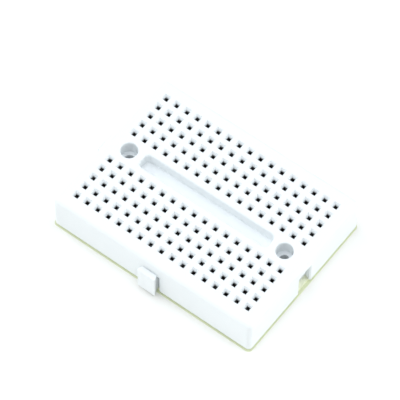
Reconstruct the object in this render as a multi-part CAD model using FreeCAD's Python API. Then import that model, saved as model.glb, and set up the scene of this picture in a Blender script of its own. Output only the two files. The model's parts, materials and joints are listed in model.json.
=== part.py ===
"""Solderless breadboard with 170 tie points, as separate solids, one STEP file per sub-part.

Millimetres, +Z up. The origin is the centre of the base face that the board stands on, +X runs
along the long side and +Y towards the far long side. Columns of contacts are numbered from -X
to +X. Bank a is on the -Y side of the centre channel and bank b is on the +Y side.
"""
import FreeCAD, Part
import os

V = FreeCAD.Vector
UP = V(0, 0, 1)

# Tie-point grid, and the square hole at each point with its funnel mouth
PITCH = 2.54
COLUMNS = 17
ROWS = 5
INNER_ROW_Y = 1.5 * PITCH
HOLE = 0.8
HOLE_MOUTH = 1.5
HOLE_FUNNEL = 0.6

# Outer shape: the housing stands on the foam pad, and the pad on its release liner
LENGTH = 47.0
WIDTH = 35.0
HEIGHT = 9.0
LINER_THICK = 0.1
FOAM_THICK = 0.6
FLOOR = LINER_THICK + FOAM_THICK
CORNER_R = 0.9
TOP_EDGE_R = 0.75
FOAM_INSET = 0.5
LINER_OVERHANG = 0.15
FOAM_CORNER_R = 0.8

# Centre channel, and the counterbored mounting holes at its two ends
CHANNEL_LENGTH = 30.7
CHANNEL_WIDTH = 3.2
CHANNEL_DEPTH = 2.5
CHANNEL_CORNER_R = 1.0
CHANNEL_RIM_R = 0.4
MOUNT_X = 18.55
MOUNT_HOLE_R = 1.0
COUNTERBORE_R = 1.75
COUNTERBORE_DEPTH = 3.1
RIM_CHAMFER = 0.12

# Dovetails that join one board to the next: tabs on -X and -Y, slots on +X and +Y
TAB_ROOT = 3.1
TAB_FACE = 4.4
TAB_REACH = 1.35
TAB_TOP = HEIGHT - 2.7
TAB_EDGE_R = 0.2
GUTTER_WIDE = 0.25
GUTTER_DEEP = 0.3
POCKET_DEEP = 0.9
POCKET_TOP = TAB_TOP - 0.8
SLOT_MOUTH = 3.6
SLOT_CHAMFER = 0.25
SLOT_BACK = 4.6
SLOT_DEPTH = 1.5
SLOT_TOP = HEIGHT - 2.8

# Chamber for each contact point, and the gallery below it that holds one clip's base
CEILING = HEIGHT - 1.0
CHAMBER_HALF_X = 1.0
CHAMBER_HALF_Y = 1.07
GALLERY_TOP = FLOOR + 0.55
GALLERY_HALF_X = 1.05
GALLERY_HALF_Y = 2 * PITCH + 1.1

# Contact clip, stamped from one strip: a base and two rows of leaves that meet at a pinch line
SHEET = 0.15
CLIP_HALF_Y = 2 * PITCH + 0.95
BASE_HALF_X = 0.6
BASE_LOW = FLOOR + 0.05
NECK_HALF_X = 0.35
NOTCH_WIDE = 0.5
BEND_X = 0.76
BEND_Z = FLOOR + 0.19
BEND_R = 0.12
LEAF_HALF_Y = 0.95
PINCH_X = 0.1
PINCH_Z = HEIGHT - 2.9
TIP_X = 0.42
TIP_Z = HEIGHT - 1.5
BELLY_X = 0.82
BELLY_Z = FLOOR + 1.1


def box(x0, x1, y0, y1, z0, z1):
    return Part.makeBox(x1 - x0, y1 - y0, z1 - z0, V(x0, y0, z0))


def prism(points, rise):
    """Straight prism on a closed outline of points, pushed along the vector rise."""
    return Part.Face(Part.makePolygon(points + points[:1])).extrude(rise)


def upright_edges(shape):
    """Straight edges of the shape that run parallel to Z."""
    lines = [e for e in shape.Edges if e.Curve.TypeId == "Part::GeomLine"]
    return [e for e in lines if abs(e.tangentAt(e.FirstParameter).z) > 0.999]


def slab(length, width, z0, z1, radius):
    """Rectangular plate centred on the origin, with rounded corners."""
    plate = box(-length / 2, length / 2, -width / 2, width / 2, z0, z1)
    return plate.makeFillet(radius, upright_edges(plate))


def column_x(column):
    return (column - (COLUMNS - 1) / 2) * PITCH


def bank_y(side):
    """Middle row of a bank: side is -1 for bank a and +1 for bank b."""
    return side * (INNER_ROW_Y + (ROWS - 1) / 2 * PITCH)


def row_offsets():
    return [(row - (ROWS - 1) / 2) * PITCH for row in range(ROWS)]


def mirrored_prism(half_outline, z0, z1):
    """Prism that is symmetric about x = 0, from the (x, y) points on its +X side."""
    points = [V(-x, y, z0) for x, y in half_outline] + [V(x, y, z0) for x, y in half_outline[::-1]]
    return prism(points, UP * (z1 - z0))


def place(shape, x, y, turn=0):
    """Copy of the shape, turned about Z and then moved in the plane."""
    return shape.copy().transformed(FreeCAD.Placement(V(x, y, 0), FreeCAD.Rotation(UP, turn)).toMatrix())


def tab():
    """Tab that sticks out towards -Y, with its outer edges and its top corners rounded."""
    shape = mirrored_prism([(TAB_ROOT / 2, 0), (TAB_FACE / 2, -TAB_REACH)], FLOOR, TAB_TOP)
    outer = [e for e in shape.Edges if e.CenterOfMass.y < -TAB_REACH + 0.01]
    return shape.makeFillet(TAB_EDGE_R, [e for e in outer if e.CenterOfMass.z > FLOOR + 0.01])


def tab_relief():
    """Gutter along the top of a tab's root, and a pocket in the wall on each side of it."""
    gutter = box(-TAB_FACE, TAB_FACE, -GUTTER_WIDE, 0, TAB_TOP - GUTTER_DEEP, TAB_TOP + 1)
    inner, outer = TAB_ROOT / 2, TAB_FACE / 2
    return [gutter, box(-outer, -inner, 0, POCKET_DEEP, FLOOR - 1, POCKET_TOP),
            box(inner, outer, 0, POCKET_DEEP, FLOOR - 1, POCKET_TOP)]


def joint_slot():
    """Dovetail slot that goes in towards -Y, with its mouth chamfered."""
    half = SLOT_MOUTH / 2
    outline = [(half + SLOT_CHAMFER, 0), (half, -SLOT_CHAMFER), (SLOT_BACK / 2, -SLOT_DEPTH)]
    return mirrored_prism(outline, FLOOR - 1, SLOT_TOP)


def shell():
    """Outer block with rounded edges, and two tabs whose roots sink into its walls."""
    block = slab(LENGTH, WIDTH, FLOOR, HEIGHT, CORNER_R)
    rim = [e for e in block.Edges if e.BoundBox.ZMin > HEIGHT - 0.01]
    block = block.makeFillet(TOP_EDGE_R, rim)
    root = box(-TAB_ROOT / 2, TAB_ROOT / 2, 0, 0.5, FLOOR, TAB_TOP)
    nib = tab().fuse(root).removeSplitter()
    walls = ((0, -WIDTH / 2, 0), (-LENGTH / 2, 0, -90))
    body = block.fuse([place(nib, *wall) for wall in walls])
    return body.cut([place(relief, *wall) for relief in tab_relief() for wall in walls])


def with_channel(body):
    """The body with the centre channel sunk into its top and the channel's rim rounded."""
    recess = slab(CHANNEL_LENGTH, CHANNEL_WIDTH, HEIGHT - CHANNEL_DEPTH, HEIGHT + 1, CHANNEL_CORNER_R)
    body = body.cut(recess)
    rim = []
    for edge in body.Edges:
        room = edge.BoundBox
        inside = room.XMax < CHANNEL_LENGTH / 2 + 0.1 and room.YMax < CHANNEL_WIDTH / 2 + 0.1
        if room.ZMin > HEIGHT - 0.01 and inside and room.YMin > -CHANNEL_WIDTH / 2 - 0.1:
            rim.append(edge)
    return body.makeFillet(CHANNEL_RIM_R, rim)


def square_ring(half, z):
    corners = [V(-half, -half, z), V(half, -half, z), V(half, half, z), V(-half, half, z)]
    return Part.makePolygon(corners + corners[:1])


def mounting_hole():
    top = HEIGHT - COUNTERBORE_DEPTH
    bore = Part.makeCylinder(MOUNT_HOLE_R, top - FLOOR + 0.5, V(0, 0, FLOOR - 0.25))
    counterbore = Part.makeCylinder(COUNTERBORE_R, COUNTERBORE_DEPTH + 1, V(0, 0, top))
    rim = Part.makeCone(COUNTERBORE_R, COUNTERBORE_R + RIM_CHAMFER, RIM_CHAMFER, V(0, 0, HEIGHT - RIM_CHAMFER))
    return bore.fuse([counterbore, rim])


def tie_hole():
    """Square hole with a funnel at its mouth that guides a lead in."""
    half = HOLE / 2
    shaft = box(-half, half, -half, half, CEILING - 0.5, HEIGHT + 0.5)
    rings = [square_ring(half, HEIGHT - HOLE_FUNNEL), square_ring(HOLE_MOUTH / 2, HEIGHT)]
    funnel = Part.makeLoft(rings, True)
    above = box(-HOLE_MOUTH / 2, HOLE_MOUTH / 2, -HOLE_MOUTH / 2, HOLE_MOUTH / 2, HEIGHT, HEIGHT + 0.5)
    return shaft.fuse([funnel, above]).removeSplitter()


def clip_cavity():
    """Space for one clip: five square holes, the chambers below them and the base gallery."""
    gallery = box(-GALLERY_HALF_X, GALLERY_HALF_X, -GALLERY_HALF_Y, GALLERY_HALF_Y, FLOOR - 1, GALLERY_TOP)
    hole = tie_hole()
    rooms = []
    for y in row_offsets():
        rooms.append(place(hole, 0, y))
        rooms.append(box(-CHAMBER_HALF_X, CHAMBER_HALF_X, y - CHAMBER_HALF_Y, y + CHAMBER_HALF_Y,
                         GALLERY_TOP - 0.2, CEILING))
    return gallery.fuse(rooms).removeSplitter()


def housing():
    body = with_channel(shell())
    tools = [place(joint_slot(), 0, WIDTH / 2), place(joint_slot(), LENGTH / 2, 0, -90)]
    tools += [place(mounting_hole(), x, 0) for x in (-MOUNT_X, MOUNT_X)]
    cavity = clip_cavity()
    for column in range(COLUMNS):
        tools += [place(cavity, column_x(column), bank_y(side)) for side in (-1, 1)]
    return body.cut(tools)


def thick_path(points, half):
    """Closed outline of a bent strip: the points, offset to both sides and mitred."""
    left, right = [], []
    for i, p in enumerate(points):
        before = points[max(i - 1, 0)]
        after = points[min(i + 1, len(points) - 1)]
        run_in = (p - before) if i else (after - p)
        run_out = (after - p) if i < len(points) - 1 else run_in
        n_in = V(-run_in.z, 0, run_in.x).normalize()
        n_out = V(-run_out.z, 0, run_out.x).normalize()
        miter = (n_in + n_out).normalize()
        reach = half / miter.dot(n_in)
        left.append(p + miter * reach)
        right.append(p - miter * reach)
    return left + right[::-1]


def leaf_row(side):
    """Row of five leaves on one rolled root, on the side -1 or +1 of the clip."""
    path = [V(side * x, 0, z) for x, z in
            ((BEND_X, BEND_Z), (BELLY_X, BELLY_Z), (PINCH_X, PINCH_Z), (TIP_X, TIP_Z))]
    outline = thick_path(path, SHEET / 2)
    leaf = prism([p - V(0, LEAF_HALF_Y, 0) for p in outline], V(0, 2 * LEAF_HALF_Y, 0))
    root = Part.makeCylinder(BEND_R, 2 * CLIP_HALF_Y, V(side * BEND_X, -CLIP_HALF_Y, BEND_Z), V(0, 1, 0))
    leaves = [place(leaf, 0, y) for y in row_offsets()]
    return root.fuse(leaves).removeSplitter()


def clip_base():
    """Flat foot of one clip, notched between its contact points."""
    foot = box(-BASE_HALF_X, BASE_HALF_X, -CLIP_HALF_Y, CLIP_HALF_Y, BASE_LOW, BASE_LOW + SHEET)
    notches = []
    for y in row_offsets()[:-1]:
        low, high = y + PITCH / 2 - NOTCH_WIDE / 2, y + PITCH / 2 + NOTCH_WIDE / 2
        notches.append(box(-2 * BASE_HALF_X, -NECK_HALF_X, low, high, 0, HEIGHT))
        notches.append(box(NECK_HALF_X, 2 * BASE_HALF_X, low, high, 0, HEIGHT))
    return foot.cut(notches)


def both_banks(shape, column):
    """The same piece in bank a and bank b of one column, as two separate solids."""
    return Part.makeCompound([place(shape, column_x(column), bank_y(side)) for side in (-1, 1)])


def screw_clearance():
    return [Part.makeCylinder(MOUNT_HOLE_R, HEIGHT, V(x, 0, -1)) for x in (-MOUNT_X, MOUNT_X)]


def foam_pad():
    """Plain pad a little inside the housing's outline, which also closes the slots from below."""
    plate = slab(LENGTH - 2 * FOAM_INSET, WIDTH - 2 * FOAM_INSET, LINER_THICK, FLOOR, FOAM_CORNER_R)
    return plate.cut(screw_clearance())


def release_liner():
    plate = slab(LENGTH + 2 * LINER_OVERHANG, WIDTH + 2 * LINER_OVERHANG, 0, LINER_THICK, CORNER_R)
    return plate.cut(screw_clearance())


def main():
    os.makedirs("parts", exist_ok=True)
    nodes = {"housing": housing(), "foam_pad": foam_pad(), "release_liner": release_liner()}
    base = clip_base()
    rows = {"left_leaves": leaf_row(-1), "right_leaves": leaf_row(1)}
    for column in range(COLUMNS):
        number = f"{column + 1:02d}"
        nodes["clip_bases_" + number] = both_banks(base, column)
        for name, row in rows.items():
            nodes[f"{name}_{number}"] = both_banks(row, column)
    for name, shape in nodes.items():
        if not shape.isValid():
            raise SystemExit(name + " is not a valid shape")
        shape.exportStep(f"parts/{name}.step")
        print(name, len(shape.Solids), round(shape.Volume, 3))


main()
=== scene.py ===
"""Looks of a solderless breadboard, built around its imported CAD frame. Metres, +Z up."""
import json
import math

import bmesh
import bpy
from mathutils import Matrix, Vector, noise

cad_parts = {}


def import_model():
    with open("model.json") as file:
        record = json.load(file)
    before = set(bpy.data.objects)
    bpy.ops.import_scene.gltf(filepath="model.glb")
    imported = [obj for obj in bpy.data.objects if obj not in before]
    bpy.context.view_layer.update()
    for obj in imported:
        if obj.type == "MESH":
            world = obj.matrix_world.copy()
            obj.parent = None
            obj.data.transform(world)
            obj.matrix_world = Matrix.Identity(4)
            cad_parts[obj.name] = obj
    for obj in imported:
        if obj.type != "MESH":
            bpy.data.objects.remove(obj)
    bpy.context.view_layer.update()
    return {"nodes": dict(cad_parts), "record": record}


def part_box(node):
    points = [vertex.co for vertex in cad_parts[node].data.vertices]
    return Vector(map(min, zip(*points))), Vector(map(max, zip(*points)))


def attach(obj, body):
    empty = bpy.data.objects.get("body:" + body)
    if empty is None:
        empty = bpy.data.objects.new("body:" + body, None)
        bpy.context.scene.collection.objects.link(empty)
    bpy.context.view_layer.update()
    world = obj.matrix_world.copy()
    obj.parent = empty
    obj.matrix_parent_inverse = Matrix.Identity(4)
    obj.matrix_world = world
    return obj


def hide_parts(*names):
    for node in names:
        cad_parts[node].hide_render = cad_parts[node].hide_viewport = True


MM = 0.001

# Colours. Each finish wanders between two of them, and HOLE_SHADE_COLOUR is painted shade: the dark
# that the housing is given deep in a hole.
WHITE = (0.885, 0.912, 0.918)
SHADE_WHITE = (0.865, 0.898, 0.91)
HOLE_SHADE_COLOUR = (0.25, 0.253, 0.255)
METAL_STAINED = (0.42, 0.40, 0.36)
METAL_CLEAN = (0.62, 0.60, 0.56)
FOAM_CELL_COLOUR = (0.84, 0.87, 0.62)
FOAM_WALL_COLOUR = (0.92, 0.94, 0.74)
LINER_DARK = (0.68, 0.72, 0.48)
LINER_PALE = (0.77, 0.81, 0.57)
FLOOR_DARK = (0.95, 0.94, 0.91)
FLOOR_PALE = (0.97, 0.96, 0.93)

# The middle of a noise pattern, where nearly all of its values lie
NOISE_SPAN = (0.3, 0.7)

# Where the housing is darkened with painted shade, each edge as the two distances that it fades
# between.
# Both banks of tie holes, out from the middle of the board along Y and X, then down from the top:
BANK_INNER_Y = (2.45 * MM, 2.6 * MM)
BANK_OUTER_Y = (15.4 * MM, 15.5 * MM)
BANK_END_X = (21.6 * MM, 21.7 * MM)
HOLE_DEPTH = (0.25 * MM, 1.15 * MM)
# The bores of the two screw holes, the same way, and how far their painted shade goes towards
# HOLE_SHADE_COLOUR:
BORE_SIDE_Y = (1.05 * MM, 1.15 * MM)
BORE_START_X = (17.4 * MM, 17.5 * MM)
BORE_DEPTH = (3.15 * MM, 3.9 * MM)
BORE_SHADE = 0.2

# Light. SKY comes from everywhere, and each soft box adds light from around one direction:
# the direction, the cosines at which it fades in and is full, and its strength.
SKY = 0.03
SOFTBOXES = (
    ((0, 0, 1), 0.7, 1.0, 1.95),
    ((0.75, 0.65, 0.2), 0.7, 1.0, 2.65),
    ((0.6, 0.45, 0.7), 0.7, 1.0, 0.25),
    ((-0.38, -0.92, 0.2), 0.7, 1.0, 0.78),
    ((-1, 0, 0.35), 0.7, 1.0, 2.1),
    ((0.7, -0.7, 0.3), 0.7, 1.0, 0.8),
    ((-0.45, -0.6, 0.7), 0.7, 1.0, 0.52),
)
SIDE_TINT = (0.945, 0.995, 0.985)
TOP_TINT = (0.945, 0.975, 1.03)
BACKDROP = (1.0, 1.0, 1.0)
FLOOR_HALF = 3.0

# Camera: its place over the middle of the top face in millimetres, the direction that it
# looks in, its roll, and its lens in millimetres on a 36 mm sensor
CAMERA_OVER_TOP = (175.516, -236.763, 472.316)
CAMERA_AIM = (-0.31695, 0.42400, -0.84839)
CAMERA_ROLL = math.radians(0.508)
CAMERA_LENS = 263.3
CAMERA_SENSOR = 36.0

# Foam's cut edge: spacing of its points, bands from bottom to top, size and depth of the torn
# cells, the fine cells as a share of both, and how much of the depth is left at the two faces
FOAM_STEP = 0.16 * MM
FOAM_BANDS = 5
FOAM_CELL = 0.28 * MM
FOAM_PIT = 0.11 * MM
FOAM_FINE = 0.4
FOAM_FACE_SHARE = 0.35

# How near points have to be to count as one, and to lie at a wanted height, and how small the
# upward part of a face's normal is when the face is a side wall
WELD = 0.001 * MM
LEVEL_SLACK = 0.01 * MM
WALL_NORMAL_Z = 0.5


# ---------------------------------------------------------------- node trees

class Tree:
    """Adds nodes to the node tree of a material or a world."""

    def __init__(self, owner):
        owner.use_nodes = True
        self.nodes = owner.node_tree.nodes
        self.links = owner.node_tree.links

    def node(self, kind, inputs, output=0, **settings):
        """Makes a node. An input is another node's output, or a plain value or colour."""
        node = self.nodes.new("ShaderNode" + kind)
        for name, value in settings.items():
            setattr(node, name, value)
        for name, value in inputs.items():
            socket = node.inputs[name]
            if isinstance(value, bpy.types.NodeSocket):
                self.links.new(value, socket)
            else:
                socket.default_value = (*value, 1.0) if socket.type == "RGBA" else value
        return node.outputs[output]

    def math(self, operation, a, b=0.0):
        return self.node("Math", {0: a, 1: b}, operation=operation)

    def ramp(self, value, span, start=0.0, end=1.0):
        """Smooth step of a value across a span, turned into start to end."""
        low, high = span
        inputs = {"Value": value, "From Min": low, "From Max": high, "To Min": start, "To Max": end}
        return self.node("MapRange", inputs, "Result", interpolation_type="SMOOTHSTEP")

    def axis(self, vector, letter):
        return self.node("SeparateXYZ", {0: vector}, letter)

    def mix(self, factor, a, b):
        """Mixes two colours. A Mix node has its colours at inputs 6 and 7, and at output 2."""
        return self.node("Mix", {0: factor, 6: a, 7: b}, 2, data_type="RGBA")


class Finish(Tree):
    """A Principled material that is put together a node at a time."""

    def __init__(self, name, **sockets):
        self.material = bpy.data.materials.new(name)
        super().__init__(self.material)
        self.bsdf = self.nodes["Principled BSDF"]
        for socket, value in sockets.items():
            self.bsdf.inputs[socket.replace("_", " ")].default_value = value
        self.place = self.node("TexCoord", {}, "Object")
        self.normal = None

    def noise(self, size, detail, rough=0.5, stretch=(1.0, 1.0, 1.0)):
        """Noise whose features are about size metres across."""
        place = self.node("Mapping", {"Vector": self.place, "Scale": stretch})
        inputs = {"Vector": place, "Scale": 1.0 / size, "Detail": detail, "Roughness": rough}
        return self.node("TexNoise", inputs, "Fac")

    def cells(self, size):
        """Closed cells about size metres across, from 0 in the middle of each."""
        return self.node("TexVoronoi", {"Vector": self.place, "Scale": 1.0 / size}, "Distance")

    def colour(self, value):
        self.links.new(value, self.bsdf.inputs["Base Color"])

    def roughness(self, pattern, smooth, rough):
        """Lets the roughness follow a noise pattern, from smooth to rough."""
        value = self.ramp(pattern, NOISE_SPAN, smooth, rough)
        self.links.new(value, self.bsdf.inputs["Roughness"])

    def bump(self, height, strength, depth):
        """Adds a bump, depth in metres, on top of the bumps before it."""
        inputs = {"Height": height, "Strength": strength, "Distance": depth}
        if self.normal:
            inputs["Normal"] = self.normal
        self.normal = self.node("Bump", inputs)
        self.links.new(self.normal, self.bsdf.inputs["Normal"])


# ---------------------------------------------------------------- finishes

def painted_hole_shade(finish, top):
    """How far painted shade takes the plastic towards HOLE_SHADE_COLOUR: down the tie holes, and a
    little in the bores.
    """
    depth = finish.math("SUBTRACT", top, finish.axis(finish.place, "Z"))
    across = finish.math("ABSOLUTE", finish.axis(finish.place, "Y"))
    along = finish.math("ABSOLUTE", finish.axis(finish.place, "X"))

    def all_of(*masks):
        product = masks[0]
        for mask in masks[1:]:
            product = finish.math("MULTIPLY", product, mask)
        return product

    holes = all_of(finish.ramp(across, BANK_INNER_Y),
                   finish.ramp(across, BANK_OUTER_Y, 1.0, 0.0),
                   finish.ramp(along, BANK_END_X, 1.0, 0.0),
                   finish.ramp(depth, HOLE_DEPTH))
    bores = all_of(finish.ramp(across, BORE_SIDE_Y, 1.0, 0.0),
                   finish.ramp(along, BORE_START_X),
                   finish.ramp(depth, BORE_DEPTH, 0.0, BORE_SHADE))
    return finish.math("ADD", holes, bores)


def white_plastic(top):
    """Moulded white ABS: fine spark texture, faint flow marks, and shade painted down its holes."""
    finish = Finish("white_plastic", IOR=1.52)
    plain = finish.mix(finish.noise(6 * MM, detail=2.0), SHADE_WHITE, WHITE)
    # Painted shade: the white goes towards HOLE_SHADE_COLOUR with depth down the tie holes and
    # screw bores
    finish.colour(finish.mix(painted_hole_shade(finish, top), plain, HOLE_SHADE_COLOUR))
    finish.roughness(finish.noise(2.5 * MM, detail=3.0), smooth=0.36, rough=0.5)
    finish.bump(finish.noise(0.12 * MM, detail=2.0), strength=0.25, depth=0.012 * MM)
    finish.bump(finish.noise(9 * MM, detail=1.0), strength=0.3, depth=0.03 * MM)
    return finish.material


def contact_metal():
    """Plated spring strip: cloudy stains, and fine rolling lines along Z."""
    finish = Finish("contact_metal", Metallic=1.0)
    stain = finish.noise(0.9 * MM, detail=4.0, rough=0.6)
    finish.colour(finish.mix(stain, METAL_STAINED, METAL_CLEAN))
    finish.roughness(finish.noise(0.3 * MM, detail=3.0), smooth=0.25, rough=0.42)
    lines = finish.noise(0.05 * MM, detail=2.0, stretch=(1.0, 1.0, 0.08))
    finish.bump(lines, strength=0.2, depth=0.004 * MM)
    return finish.material


def foam():
    """Fine closed-cell foam."""
    finish = Finish("foam", Roughness=0.85)
    finish.colour(finish.mix(finish.cells(0.25 * MM), FOAM_CELL_COLOUR, FOAM_WALL_COLOUR))
    finish.bump(finish.cells(0.22 * MM), strength=0.7, depth=0.06 * MM)
    return finish.material


def liner_paper():
    """Coated release paper with its fibres along Y."""
    finish = Finish("liner_paper", Coat_Weight=0.3, Coat_Roughness=0.3)
    fibre = finish.noise(0.35 * MM, detail=5.0, rough=0.6, stretch=(1.0, 0.25, 1.0))
    finish.colour(finish.mix(fibre, LINER_DARK, LINER_PALE))
    finish.roughness(fibre, smooth=0.35, rough=0.55)
    finish.bump(fibre, strength=0.3, depth=0.01 * MM)
    return finish.material


def floor_material():
    """Matt, with hardly any sheen."""
    finish = Finish("floor", Roughness=0.8, Specular_IOR_Level=0.1)
    finish.colour(finish.mix(finish.noise(30 * MM, detail=2.0), FLOOR_DARK, FLOOR_PALE))
    return finish.material


# ---------------------------------------------------------------- studio

def studio_floor():
    """Pale floor under the board, wide enough to fill the view."""
    half = FLOOR_HALF
    corners = [(-half, -half, 0), (half, -half, 0), (half, half, 0), (-half, half, 0)]
    mesh = bpy.data.meshes.new("floor")
    mesh.from_pydata(corners, [], [(0, 1, 2, 3)])
    floor = bpy.data.objects.new("floor", mesh)
    bpy.context.scene.collection.objects.link(floor)
    floor.data.materials.append(floor_material())


def studio_world():
    """All the light there is: a dim sky with soft boxes in it.

    The camera sees a plain pale backdrop in their place, which lights nothing.
    """
    world = bpy.data.worlds.new("studio")
    tree = Tree(world)
    direction = tree.node("TexCoord", {}, "Generated")
    light = SKY
    for towards, edge, core, strength in SOFTBOXES:
        vectors = {0: direction, 1: Vector(towards).normalized()}
        facing = tree.node("VectorMath", vectors, "Value", operation="DOT_PRODUCT")
        light = tree.math("ADD", tree.ramp(facing, (edge, core), 0.0, strength), light)
    tint = tree.mix(tree.axis(direction, "Z"), SIDE_TINT, TOP_TINT)
    lamps = tree.node("Background", {"Color": tint, "Strength": light})
    backdrop = tree.node("Background", {"Color": BACKDROP})
    to_camera = tree.node("LightPath", {}, "Is Camera Ray")
    shown = tree.node("MixShader", {0: to_camera, 1: lamps, 2: backdrop})
    tree.links.new(shown, tree.nodes["World Output"].inputs["Surface"])
    bpy.context.scene.world = world


def camera(top):
    """The view down on the board, from over its front right corner."""
    data = bpy.data.cameras.new("camera")
    data.lens = CAMERA_LENS
    data.sensor_width = CAMERA_SENSOR
    data.clip_start = 0.01
    data.clip_end = 20.0
    eye = bpy.data.objects.new("camera", data)
    bpy.context.scene.collection.objects.link(eye)
    eye.location = Vector(CAMERA_OVER_TOP) * MM + Vector((0, 0, top))
    turn = Vector(CAMERA_AIM).to_track_quat("-Z", "Y")
    eye.rotation_mode = "QUATERNION"
    eye.rotation_quaternion = turn @ Matrix.Rotation(CAMERA_ROLL, 3, "Z").to_quaternion()
    bpy.context.scene.camera = eye


# ---------------------------------------------------------------- foam pad

def outline_loops(node, level):
    """Closed outlines, in order, of the flat face that a CAD node has at one height."""
    mesh = bmesh.new()
    mesh.from_mesh(node.data)
    bmesh.ops.remove_doubles(mesh, verts=mesh.verts, dist=WELD)
    onward = {}
    for edge in mesh.edges:
        flat = all(abs(v.co.z - level) < LEVEL_SLACK for v in edge.verts)
        if flat and any(abs(face.normal.z) < WALL_NORMAL_Z for face in edge.link_faces):
            a, b = (v.index for v in edge.verts)
            onward.setdefault(a, []).append(b)
            onward.setdefault(b, []).append(a)
    points = {v.index: v.co.xy for v in mesh.verts}
    loops = []
    while onward:
        start = min(onward)
        loop, here = [], start
        while here in onward:
            loop.append(points[here].copy())
            ways = onward.pop(here)
            here = next((way for way in ways if way in onward), start)
        loops.append(loop)
    mesh.free()
    return loops


def even_steps(loop, step):
    """The same outline with points about one step apart, corners kept."""
    points = []
    for a, b in zip(loop, loop[1:] + loop[:1]):
        count = max(1, round((b - a).length / step))
        points += [a.lerp(b, i / count) for i in range(count)]
    return points


def signed_area(points):
    return sum(a.cross(b) for a, b in zip(points, points[1:] + points[:1])) / 2


def torn(place):
    """Depth of the pits at a point of the cut edge, coarse cells and fine ones, for FOAM_PIT."""
    coarse = max(0.0, noise.noise(place / FOAM_CELL))
    fine = abs(noise.noise(place / (FOAM_FINE * FOAM_CELL)))
    return coarse + FOAM_FINE * fine


def cut_foam(node):
    """Foam pad whose cut edge shows its torn cells: pits that go inward from the CAD outline."""
    low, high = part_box("foam_pad")
    bm = bmesh.new()
    loops = [even_steps(loop, FOAM_STEP) for loop in outline_loops(node, high.z)]
    outer = max(loops, key=lambda loop: abs(signed_area(loop)))
    faces = {0: [], FOAM_BANDS: []}
    for loop in loops:
        turn = math.copysign(1, signed_area(loop)) * (1 if loop is outer else -1)
        rings = []
        for level in range(FOAM_BANDS + 1):
            z = low.z + (high.z - low.z) * level / FOAM_BANDS
            share = FOAM_FACE_SHARE if level in faces else 1.0
            ring = []
            for i, point in enumerate(loop):
                along = loop[(i + 1) % len(loop)] - loop[i - 1]
                inward = Vector((-along.y, along.x, 0)).normalized() * turn
                place = Vector((point.x, point.y, z))
                ring.append(bm.verts.new(place + inward * FOAM_PIT * torn(place) * share))
            rings.append(ring)
        for under, over in zip(rings, rings[1:]):
            for i in range(len(loop)):
                j = (i + 1) % len(loop)
                bm.faces.new((under[i], under[j], over[j], over[i]))
        for level, rim in faces.items():
            ring = rings[level]
            rim += [bm.edges.get((ring[i - 1], ring[i])) for i in range(len(ring))]
    for rim in faces.values():
        bmesh.ops.triangle_fill(bm, edges=rim, use_beauty=True)
    bmesh.ops.recalc_face_normals(bm, faces=bm.faces)
    mesh = bpy.data.meshes.new("foam_sheet")
    bm.to_mesh(mesh)
    bm.free()
    mesh.polygons.foreach_set("use_smooth", [True] * len(mesh.polygons))
    piece = bpy.data.objects.new("foam_sheet", mesh)
    bpy.context.scene.collection.objects.link(piece)
    return piece


# ---------------------------------------------------------------- scene

def paint(node, material):
    """Gives a CAD node its material through its object's slots."""
    if not node.material_slots:
        node.data.materials.append(None)
    for slot in node.material_slots:
        slot.link = "OBJECT"
        slot.material = material


def main():
    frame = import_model()
    nodes = frame["nodes"]
    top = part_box("housing")[1].z
    finishes = {"white_plastic": white_plastic(top), "contact_metal": contact_metal(),
                "foam": foam(), "liner_paper": liner_paper()}
    for part in frame["record"]["subparts"]:
        paint(nodes[part["node"]], finishes[part["material_slot"]])
    pad = cut_foam(nodes["foam_pad"])
    pad.data.materials.append(finishes["foam"])
    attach(pad, "root")
    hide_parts("foam_pad")
    studio_floor()
    studio_world()
    camera(top)
    scene = bpy.context.scene
    scene.view_settings.view_transform = "Standard"


main()
